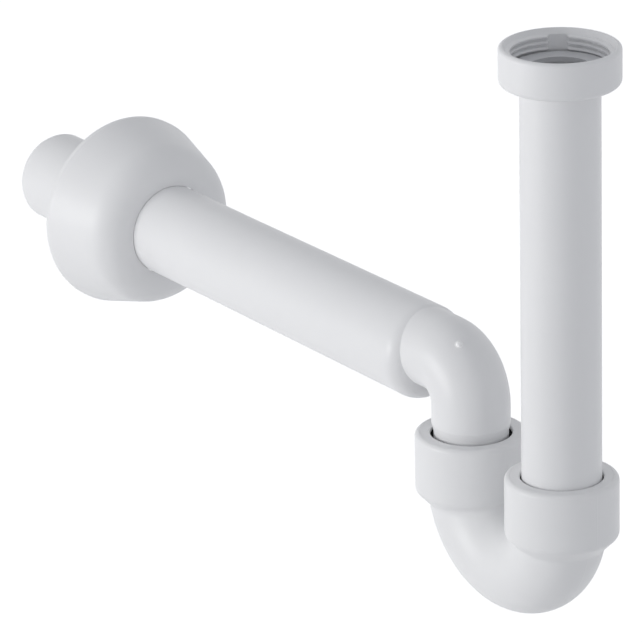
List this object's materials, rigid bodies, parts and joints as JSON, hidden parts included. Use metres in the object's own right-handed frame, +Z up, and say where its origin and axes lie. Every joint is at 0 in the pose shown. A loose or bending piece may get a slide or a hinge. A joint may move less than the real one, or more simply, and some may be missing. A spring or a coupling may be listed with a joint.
{
  "type": "basin trap",
  "caption": "White plastic tubular basin trap: union nut on a dip tube, swivelling U-bend with push-fit sockets, and an outlet arm with a sliding wall rosette.",
  "frame": {"origin": "on the inlet axis, at the inner end of the union nut's thread, just above the flat washer", "axes": "+Z up along the inlet axis, +Y along the outlet arm towards the wall, X = 0 is the plane of the bends"},
  "size_m": [0.082, 0.3878, 0.2451],
  "materials": {
    "white_plastic": "satin moulded polypropylene",
    "pale_washer": "smooth pale grey washer",
    "black_rubber": "matt black rubber"
  },
  "bodies": {
    "inlet_pipe": {"dip_tube": "white_plastic", "inlet_washer": "pale_washer"},
    "nut": {"union_nut": "white_plastic"},
    "inlet_seal": {"inlet_lip_seal": "black_rubber"},
    "bend": {"u_bend": "white_plastic", "inlet_socket_ring": "white_plastic", "outlet_socket_ring": "white_plastic"},
    "outlet_seal": {"outlet_lip_seal": "black_rubber"},
    "outlet_arm": {"outlet_bend": "white_plastic"},
    "rosette": {"wall_rosette": "white_plastic"}
  },
  "joints": [
    {"name": "nut_turn", "type": "hinge", "parent": "inlet_pipe", "child": "nut", "pos_m": [0, 0, 0], "axis": [0, 0, 1], "continuous": true},
    {"name": "height_slide", "type": "slide", "parent": "inlet_pipe", "child": "inlet_seal", "axis": [0, 0, 1], "range_m": [-0.0075, 0.003]},
    {"name": "bend_swivel", "type": "hinge", "parent": "inlet_seal", "child": "bend", "pos_m": [0, 0, -0.17], "axis": [0, 0, 1], "continuous": true},
    {"name": "arm_swivel", "type": "hinge", "parent": "bend", "child": "outlet_seal", "pos_m": [0, 0.06, -0.17], "axis": [0, 0, 1], "range_deg": [-130, 130]},
    {"name": "arm_lift", "type": "slide", "parent": "outlet_seal", "child": "outlet_arm", "axis": [0, 0, 1], "range_m": [-0.003, 0.0075]},
    {"name": "rosette_slide", "type": "slide", "parent": "outlet_arm", "child": "rosette", "axis": [0, 1, 0], "range_m": [-0.044, 0.045]}
  ]
}
